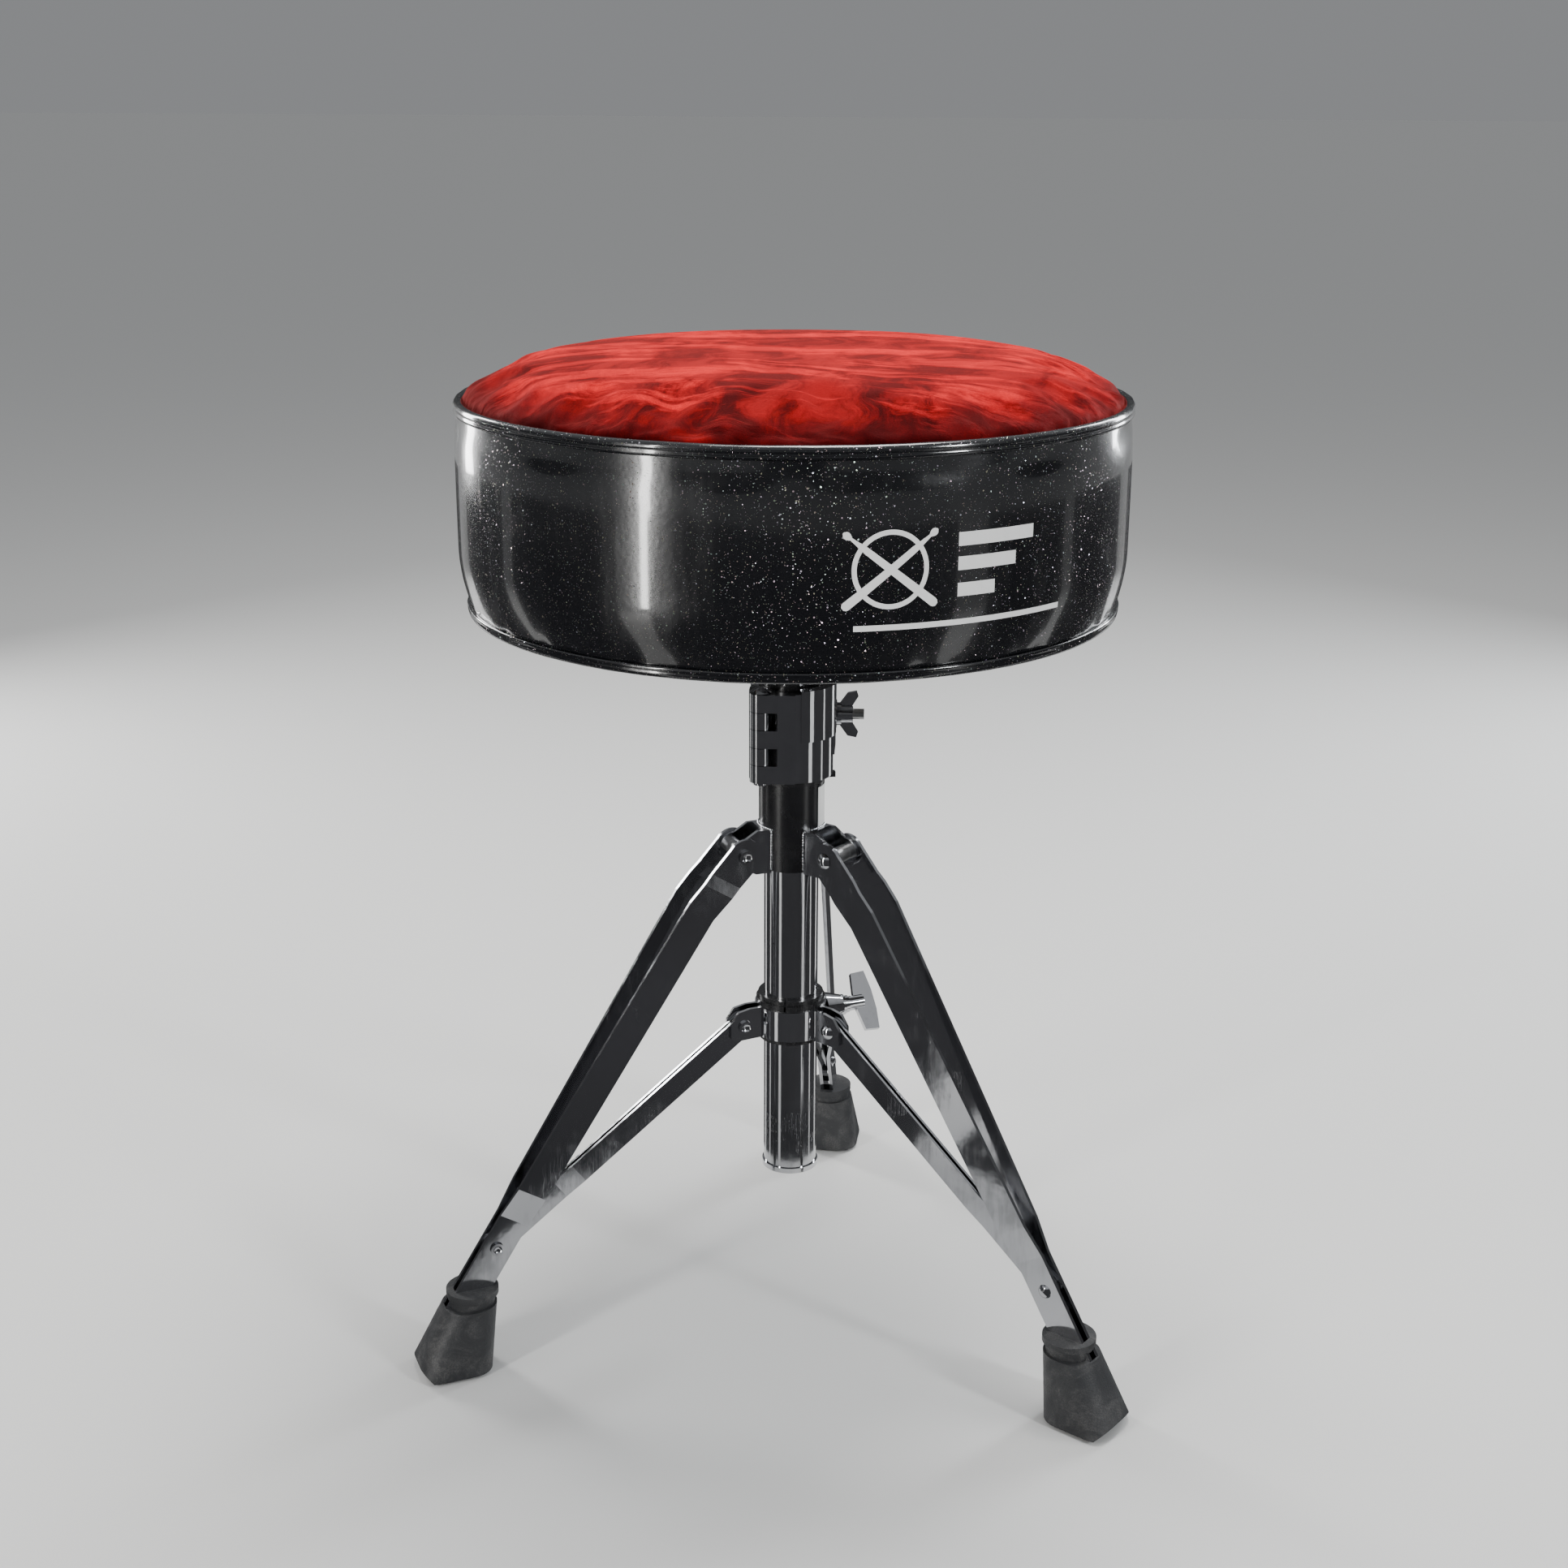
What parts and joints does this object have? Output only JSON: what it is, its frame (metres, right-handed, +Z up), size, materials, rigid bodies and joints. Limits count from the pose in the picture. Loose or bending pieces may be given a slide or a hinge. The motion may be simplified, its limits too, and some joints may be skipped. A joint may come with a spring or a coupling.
{
  "type": "drum throne",
  "caption": "Round padded drum stool with a velvet top and sparkle vinyl side on a telescoping post, in a folding tripod with paired legs and braces.",
  "frame": {"origin": "centre of the whole outline on the floor; the column's axis stands 24.43 mm behind it, at y = -0.02443, because the rear foot reaches further out than the seat", "axes": "+Z up, +Y towards the single rear leg, -Y towards the two front legs and the front of the stool, +X to the right as seen from the front"},
  "size_m": [0.4056, 0.4068, 0.566],
  "materials": {
    "velvet": "crushed pile",
    "vinyl": "gloss with sparkle",
    "foam": "open-cell foam",
    "board": "plywood",
    "dust_cloth": "woven cloth",
    "chrome": "polished chrome",
    "black_satin": "satin black",
    "nylon": "satin nylon",
    "rubber": "matte rubber",
    "steel": "zinc plated",
    "label": "plain sticker"
  },
  "bodies": {
    "base": {"base_tube": "chrome", "tube_end_ring": "chrome", "hub_sleeve": "black_satin", "post_guide_bush": "nylon", "clamp_jacket": "nylon", "sleeve_label": "label", "clamp_fixed_jaw": "chrome", "clamp_hinge_pin": "chrome", "clamp_bolt": "chrome", "leg_bracket_rear": "chrome", "leg_pivot_rivet_rear": "chrome", "leg_pivot_spacer_rear": "chrome", "leg_bracket_front_left": "chrome", "leg_pivot_rivet_front_left": "chrome", "leg_pivot_spacer_front_left": "chrome", "leg_bracket_front_right": "chrome", "leg_pivot_rivet_front_right": "chrome", "leg_pivot_spacer_front_right": "chrome"},
    "post": {"height_tube": "chrome", "height_tube_bush": "nylon"},
    "seat": {"seat_board": "board", "foam_cushion": "foam", "top_cover": "velvet", "side_band": "vinyl", "top_piping": "vinyl", "bottom_piping": "vinyl", "dust_cover": "dust_cloth", "dust_cover_staples": "steel", "seat_socket": "black_satin", "socket_screws": "steel", "seat_t_nuts": "steel", "socket_key_bolt": "black_satin"},
    "clamp_jaw": {"clamp_moving_jaw": "chrome"},
    "clamp_washer": {"clamp_washer": "chrome"},
    "clamp_nut": {"clamp_wing_nut": "chrome"},
    "collar": {"collar_bush": "nylon", "collar_plate_right": "chrome", "collar_plate_left": "chrome", "collar_plate_front": "chrome", "collar_rivets": "chrome", "collar_boss": "chrome"},
    "collar_washer": {"collar_bolt_washer": "chrome"},
    "collar_bolt": {"collar_wing_bolt": "chrome"},
    "leg_rear": {"leg_bar_rear_a": "chrome", "leg_bar_rear_b": "chrome", "brace_rivet_rear": "chrome", "foot_rear": "rubber"},
    "brace_rear": {"brace_rear": "chrome"},
    "leg_front_left": {"leg_bar_front_left_a": "chrome", "leg_bar_front_left_b": "chrome", "brace_rivet_front_left": "chrome", "foot_front_left": "rubber"},
    "brace_front_left": {"brace_front_left": "chrome"},
    "leg_front_right": {"leg_bar_front_right_a": "chrome", "leg_bar_front_right_b": "chrome", "brace_rivet_front_right": "chrome", "foot_front_right": "rubber"},
    "brace_front_right": {"brace_front_right": "chrome"}
  },
  "joints": [
    {"name": "seat_height", "type": "slide", "parent": "base", "child": "post", "axis": [0, 0, 1], "range_m": [0, 0.15]},
    {"name": "seat_swivel", "type": "hinge", "parent": "post", "child": "seat", "pos_m": [0, -0.02443, 0.433], "axis": [0, 0, 1], "continuous": true},
    {"name": "leg_fold_front_left", "type": "hinge", "parent": "base", "child": "leg_front_left", "pos_m": [-0.02771, -0.04043, 0.2905], "axis": [0.5, -0.866, 0], "range_deg": [0, 28]},
    {"name": "leg_fold_front_right", "type": "hinge", "parent": "base", "child": "leg_front_right", "pos_m": [0.02771, -0.04043, 0.2905], "axis": [0.5, 0.866, 0], "range_deg": [0, 28]},
    {"name": "leg_fold_rear", "type": "hinge", "parent": "base", "child": "leg_rear", "pos_m": [0, 0.00757, 0.2905], "axis": [-1, 0, 0], "range_deg": [0, 28]},
    {"name": "collar_slide", "type": "slide", "parent": "base", "child": "collar", "axis": [0, 0, 1], "range_m": [0, 0.02881]},
    {"name": "brace_fold_front_left", "type": "hinge", "parent": "collar", "child": "brace_front_left", "pos_m": [-0.02598, -0.03943, 0.1842], "axis": [0.5, -0.866, 0], "range_deg": [0, 43.97]},
    {"name": "brace_fold_front_right", "type": "hinge", "parent": "collar", "child": "brace_front_right", "pos_m": [0.02598, -0.03943, 0.1842], "axis": [0.5, 0.866, 0], "range_deg": [0, 43.97]},
    {"name": "brace_fold_rear", "type": "hinge", "parent": "collar", "child": "brace_rear", "pos_m": [0, 0.00557, 0.1842], "axis": [-1, 0, 0], "range_deg": [0, 43.97]},
    {"name": "clamp_nut_turn", "type": "hinge", "parent": "clamp_washer", "child": "clamp_nut", "pos_m": [0.02459, 0.00432, 0.36], "axis": [0.9962, 0.0872, 0], "range_deg": [0, 720]},
    {"name": "clamp_washer_slide", "type": "slide", "parent": "base", "child": "clamp_washer", "axis": [0.9962, 0.0872, 0], "range_m": [0, 0.00251]},
    {"name": "clamp_jaw_open", "type": "hinge", "parent": "base", "child": "clamp_jaw", "pos_m": [-0.01472, -0.04439, 0.36], "axis": [0, 0, -1], "range_deg": [0, 2.51]},
    {"name": "collar_bolt_turn", "type": "hinge", "parent": "collar_washer", "child": "collar_bolt", "pos_m": [0.03464, -0.00443, 0.1865], "axis": [0.866, 0.5, 0], "range_deg": [0, 720]},
    {"name": "collar_bolt_back_off", "type": "slide", "parent": "collar", "child": "collar_washer", "axis": [0.866, 0.5, 0], "range_m": [0, 0.00251]}
  ],
  "couplings": [
    {"joint": "leg_fold_front_right", "follows": "leg_fold_front_left", "ratio": 1},
    {"joint": "leg_fold_rear", "follows": "leg_fold_front_left", "ratio": 1},
    {"joint": "collar_slide", "follows": "leg_fold_front_left", "m_per_rad": 0.058937},
    {"joint": "brace_fold_front_left", "follows": "leg_fold_front_left", "ratio": 1.5699},
    {"joint": "brace_fold_front_right", "follows": "leg_fold_front_left", "ratio": 1.5699},
    {"joint": "brace_fold_rear", "follows": "leg_fold_front_left", "ratio": 1.5699},
    {"joint": "clamp_washer_slide", "follows": "clamp_nut_turn", "m_per_rad": 0.00019894},
    {"joint": "clamp_jaw_open", "follows": "clamp_nut_turn", "ratio": 0.0034722},
    {"joint": "collar_bolt_back_off", "follows": "collar_bolt_turn", "m_per_rad": 0.00019894}
  ]
}
